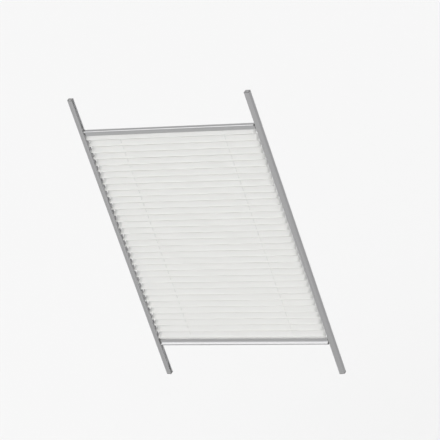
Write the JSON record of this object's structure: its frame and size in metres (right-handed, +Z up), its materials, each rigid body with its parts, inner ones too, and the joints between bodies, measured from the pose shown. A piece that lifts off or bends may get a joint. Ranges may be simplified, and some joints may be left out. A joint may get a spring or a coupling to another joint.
{
  "type": "pleated blind",
  "caption": "Pleated blind for a roof window: two rails slide in slotted side channels and hold a folded off-white cloth between them.",
  "frame": {"origin": "middle of the bottom ends of the side channels, at half their depth", "axes": "+X to the right as seen from the room, -Y towards the room, +Z up the window's slope"},
  "size_m": [0.66, 0.0178, 1.02],
  "materials": {
    "channel_aluminium": "satin anodised, long fine draw lines",
    "rail_aluminium": "satin anodised, long fine draw lines",
    "pleated_cloth": "off-white pleated polyester, fine plain weave",
    "cord": "braided white cord",
    "cap_plastic": "moulded, fine grain",
    "end_cap_plastic": "moulded, fine grain",
    "glider_plastic": "smooth slippery moulding",
    "anchor_plastic": "moulded",
    "strip_plastic": "extruded, matt",
    "screw_steel": "zinc plated",
    "eyelet_brass": "drawn, plated"
  },
  "bodies": {
    "channels": {"channel_cap_bottom_left": "cap_plastic", "channel_cap_bottom_right": "cap_plastic", "channel_cap_top_left": "cap_plastic", "channel_cap_top_right": "cap_plastic", "channel_cord_bottom_left": "cord", "channel_cord_bottom_right": "cord", "channel_cord_top_left": "cord", "channel_cord_top_right": "cord", "cloth_cord_left": "cord", "cloth_cord_right": "cord", "cord_anchor_bottom_left": "anchor_plastic", "cord_anchor_bottom_right": "anchor_plastic", "cord_anchor_top_left": "anchor_plastic", "cord_anchor_top_right": "anchor_plastic", "pleated_cloth": "pleated_cloth", "side_channel_left": "channel_aluminium", "side_channel_right": "channel_aluminium"},
    "upper_rail_set": {"upper_cloth_strip": "strip_plastic", "upper_rail": "rail_aluminium", "upper_rail_cord_back": "cord", "upper_rail_cord_front": "cord", "upper_rail_end_cap_left": "end_cap_plastic", "upper_rail_end_cap_right": "end_cap_plastic", "upper_rail_end_screws": "screw_steel", "upper_rail_eyelets": "eyelet_brass", "upper_rail_glider_left": "glider_plastic", "upper_rail_glider_right": "glider_plastic"},
    "lower_rail_set": {"lower_cloth_strip": "strip_plastic", "lower_rail": "rail_aluminium", "lower_rail_cord_back": "cord", "lower_rail_cord_front": "cord", "lower_rail_end_cap_left": "end_cap_plastic", "lower_rail_end_cap_right": "end_cap_plastic", "lower_rail_end_screws": "screw_steel", "lower_rail_eyelets": "eyelet_brass", "lower_rail_glider_left": "glider_plastic", "lower_rail_glider_right": "glider_plastic"}
  },
  "joints": [
    {"name": "upper_rail_slide", "type": "slide", "parent": "channels", "child": "upper_rail_set", "axis": [0, 0, 1], "range_m": [-0.355, 0.09], "deforming": ["pleated_cloth", "cloth_cord_left", "cloth_cord_right", "channel_cord_top_left", "channel_cord_top_right"]},
    {"name": "lower_rail_slide", "type": "slide", "parent": "channels", "child": "lower_rail_set", "axis": [0, 0, 1], "range_m": [-0.09, 0.355], "deforming": ["pleated_cloth", "cloth_cord_left", "cloth_cord_right", "channel_cord_bottom_left", "channel_cord_bottom_right"]}
  ]
}
